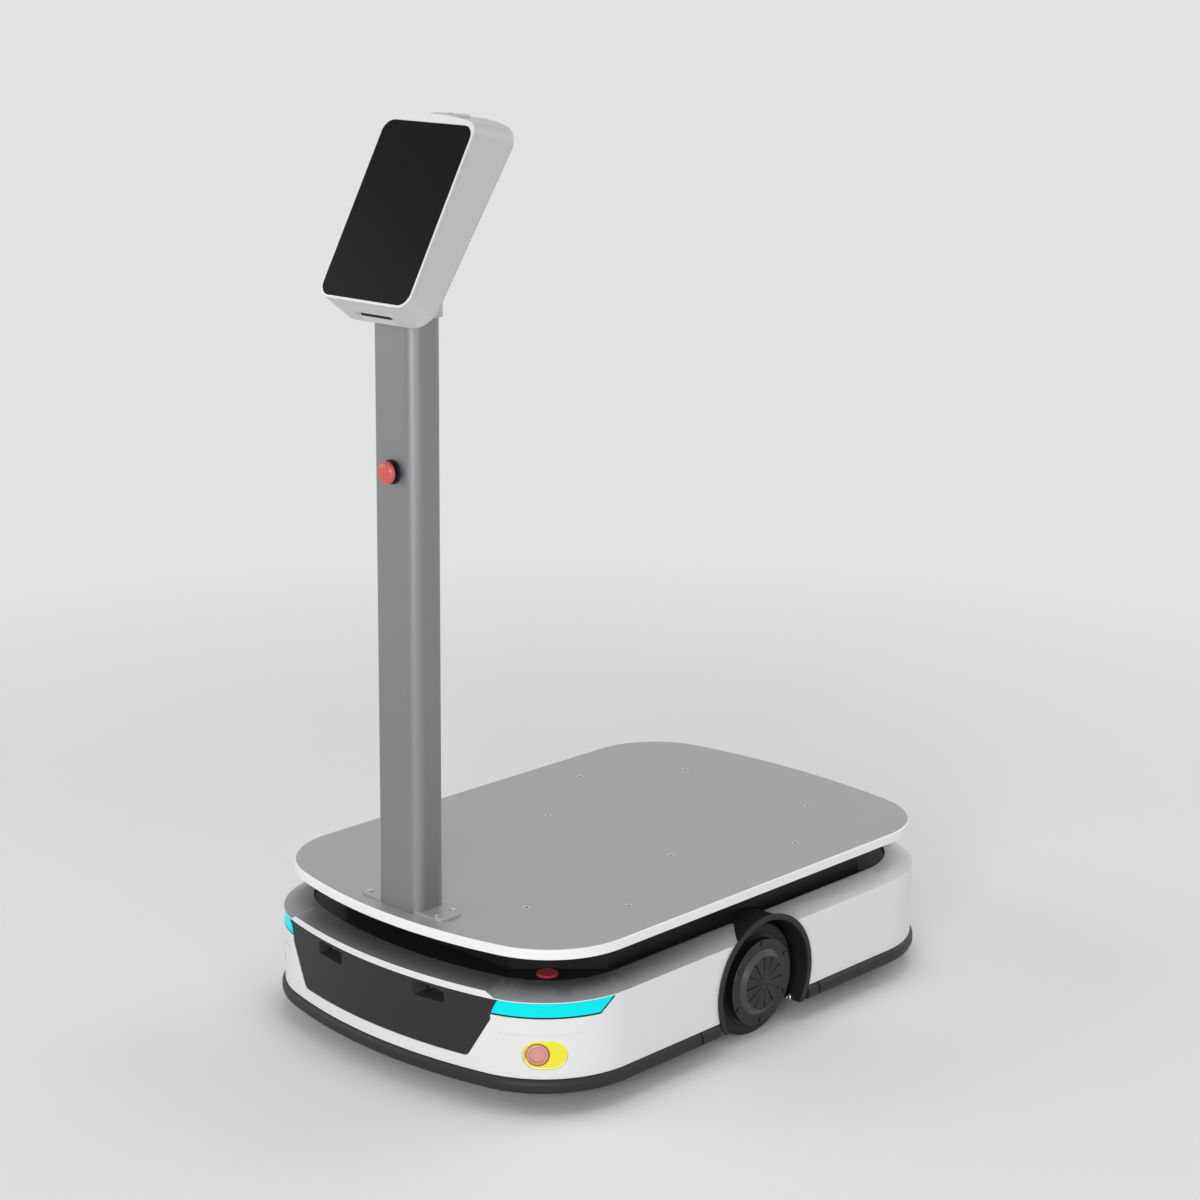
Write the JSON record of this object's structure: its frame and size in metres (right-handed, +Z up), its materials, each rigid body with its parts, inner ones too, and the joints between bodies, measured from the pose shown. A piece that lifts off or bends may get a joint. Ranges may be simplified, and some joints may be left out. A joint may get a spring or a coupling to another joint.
{
  "type": "autonomous mobile robot",
  "caption": "Low wheeled load-carrying robot base with a flat metal load plate, floating bumpers, corner lights and a column that holds a tilted touch screen.",
  "frame": {"origin": "on the floor under the middle of the overall box", "axes": "+Z up, the robot drives towards -Y (lights, dark panel and screen side), X is its width"},
  "size_m": [0.573, 0.8556, 1.1816],
  "materials": {
    "shell_white": "satin",
    "panel_dark": "matt",
    "deck_black": "matt",
    "frame_black": "powder coat",
    "plate_alu": "brushed, anodised",
    "column_alu": "anodised",
    "steel": "bright",
    "light_cyan": "lit diffuser",
    "pad_yellow": "gloss",
    "button_pink": "gloss",
    "stop_red": "gloss",
    "power_red": "satin",
    "head_silver": "satin",
    "bezel_white": "gloss",
    "screen_black": "glossy black glass",
    "lens_black": "gloss",
    "tyre_rubber": "matt",
    "hub_dark": "black anodised",
    "cover_dark": "satin",
    "bumper_rubber": "matt",
    "arm_steel": "zinc",
    "pan_metal": "black anodised",
    "battery_case": "anodised",
    "board_green": "matt",
    "caster_grey": "matt",
    "contact_brass": "bright"
  },
  "bodies": {
    "chassis": {"base_pan": "pan_metal", "front_shell": "shell_white", "rear_shell": "shell_white", "deck_tray": "deck_black", "deck_frame": "frame_black", "load_plate": "plate_alu", "plate_screws": "steel", "front_panel": "panel_dark", "camera_window_left": "lens_black", "camera_window_right": "lens_black", "light_strip_left": "light_cyan", "light_strip_right": "light_cyan", "wheel_arch_left": "deck_black", "wheel_arch_right": "deck_black", "skirt_left": "bumper_rubber", "skirt_right": "bumper_rubber", "button_base_left": "pad_yellow", "button_base_right": "pad_yellow", "inner_frame": "column_alu", "battery_pack": "battery_case", "control_unit": "board_green", "charge_contacts": "contact_brass", "column": "column_alu", "column_foot": "plate_alu", "pan_screws": "steel", "head_housing": "head_silver", "head_bezel": "bezel_white", "screen_glass": "screen_black", "display_module": "board_green", "head_eye": "head_silver", "eye_lens": "lens_black", "chin_window": "lens_black", "stop_collar": "deck_black", "pivot_bracket_left": "arm_steel", "pivot_bracket_right": "arm_steel"},
    "arm_right": {"suspension_arm_right": "arm_steel"},
    "drive_wheel_right": {"tyre_right": "tyre_rubber", "hub_right": "hub_dark", "wheel_cover_right": "cover_dark", "cover_screws_right": "steel"},
    "corner_button_right": {"corner_button_right": "button_pink"},
    "arm_left": {"suspension_arm_left": "arm_steel"},
    "drive_wheel_left": {"tyre_left": "tyre_rubber", "hub_left": "hub_dark", "wheel_cover_left": "cover_dark", "cover_screws_left": "steel"},
    "corner_button_left": {"corner_button_left": "button_pink"},
    "caster_fork_front_right": {"caster_fork_front_right": "arm_steel"},
    "caster_wheel_front_right": {"caster_wheel_front_right": "caster_grey"},
    "caster_fork_front_left": {"caster_fork_front_left": "arm_steel"},
    "caster_wheel_front_left": {"caster_wheel_front_left": "caster_grey"},
    "caster_fork_rear_right": {"caster_fork_rear_right": "arm_steel"},
    "caster_wheel_rear_right": {"caster_wheel_rear_right": "caster_grey"},
    "caster_fork_rear_left": {"caster_fork_rear_left": "arm_steel"},
    "caster_wheel_rear_left": {"caster_wheel_rear_left": "caster_grey"},
    "stop_plunger": {"stop_plunger": "lens_black"},
    "stop_cap": {"stop_cap": "stop_red"},
    "power_button": {"power_button": "power_red"},
    "front_bumper": {"front_bumper": "bumper_rubber"},
    "rear_bumper": {"rear_bumper": "bumper_rubber"}
  },
  "joints": [
    {"name": "suspension_right", "type": "hinge", "parent": "chassis", "child": "arm_right", "pos_m": [0.1935, 0.11, 0.076], "axis": [1, 0, 0], "range_deg": [-2, 1.5], "stiffness_Nm_per_rad": 300, "springref_deg": 2.12},
    {"name": "drive_right", "type": "hinge", "parent": "arm_right", "child": "drive_wheel_right", "pos_m": [0.244, 0, 0.076], "axis": [1, 0, 0], "continuous": true},
    {"name": "corner_button_right", "type": "slide", "parent": "chassis", "child": "corner_button_right", "axis": [-0.7071, 0.7071, 0], "range_m": [0, 0.003], "stiffness_N_per_m": 500, "springref_m": -0.001},
    {"name": "suspension_left", "type": "hinge", "parent": "chassis", "child": "arm_left", "pos_m": [-0.1935, 0.11, 0.076], "axis": [1, 0, 0], "range_deg": [-2, 1.5], "stiffness_Nm_per_rad": 300, "springref_deg": 2.12},
    {"name": "drive_left", "type": "hinge", "parent": "arm_left", "child": "drive_wheel_left", "pos_m": [-0.244, 0, 0.076], "axis": [1, 0, 0], "continuous": true},
    {"name": "corner_button_left", "type": "slide", "parent": "chassis", "child": "corner_button_left", "axis": [0.7071, 0.7071, 0], "range_m": [0, 0.003], "stiffness_N_per_m": 500, "springref_m": -0.001},
    {"name": "swivel_front_right", "type": "hinge", "parent": "chassis", "child": "caster_fork_front_right", "pos_m": [0.18, -0.292, 0.066], "axis": [0, 0, 1], "continuous": true},
    {"name": "roll_front_right", "type": "hinge", "parent": "caster_fork_front_right", "child": "caster_wheel_front_right", "pos_m": [0.18, -0.27, 0.028], "axis": [1, 0, 0], "continuous": true},
    {"name": "swivel_front_left", "type": "hinge", "parent": "chassis", "child": "caster_fork_front_left", "pos_m": [-0.18, -0.292, 0.066], "axis": [0, 0, 1], "continuous": true},
    {"name": "roll_front_left", "type": "hinge", "parent": "caster_fork_front_left", "child": "caster_wheel_front_left", "pos_m": [-0.18, -0.27, 0.028], "axis": [1, 0, 0], "continuous": true},
    {"name": "swivel_rear_right", "type": "hinge", "parent": "chassis", "child": "caster_fork_rear_right", "pos_m": [0.18, 0.292, 0.066], "axis": [0, 0, 1], "continuous": true},
    {"name": "roll_rear_right", "type": "hinge", "parent": "caster_fork_rear_right", "child": "caster_wheel_rear_right", "pos_m": [0.18, 0.314, 0.028], "axis": [1, 0, 0], "continuous": true},
    {"name": "swivel_rear_left", "type": "hinge", "parent": "chassis", "child": "caster_fork_rear_left", "pos_m": [-0.18, 0.292, 0.066], "axis": [0, 0, 1], "continuous": true},
    {"name": "roll_rear_left", "type": "hinge", "parent": "caster_fork_rear_left", "child": "caster_wheel_rear_left", "pos_m": [-0.18, 0.314, 0.028], "axis": [1, 0, 0], "continuous": true},
    {"name": "stop_press", "type": "slide", "parent": "chassis", "child": "stop_plunger", "axis": [0, 1, 0], "range_m": [0, 0.003], "stiffness_N_per_m": 800, "springref_m": -0.001},
    {"name": "stop_twist", "type": "hinge", "parent": "stop_plunger", "child": "stop_cap", "pos_m": [0, -0.3885, 0.762], "axis": [0, -1, 0], "range_deg": [0, 30], "stiffness_Nm_per_rad": 0.05, "springref_deg": -5.73},
    {"name": "power_press", "type": "slide", "parent": "chassis", "child": "power_button", "axis": [0, 0, -1], "range_m": [0, 0.0025], "stiffness_N_per_m": 400, "springref_m": -0.001},
    {"name": "front_bumper_press", "type": "slide", "parent": "chassis", "child": "front_bumper", "axis": [0, 1, 0], "range_m": [0, 0.003], "stiffness_N_per_m": 4000, "springref_m": -0.001},
    {"name": "rear_bumper_press", "type": "slide", "parent": "chassis", "child": "rear_bumper", "axis": [0, -1, 0], "range_m": [0, 0.003], "stiffness_N_per_m": 4000, "springref_m": -0.001}
  ]
}
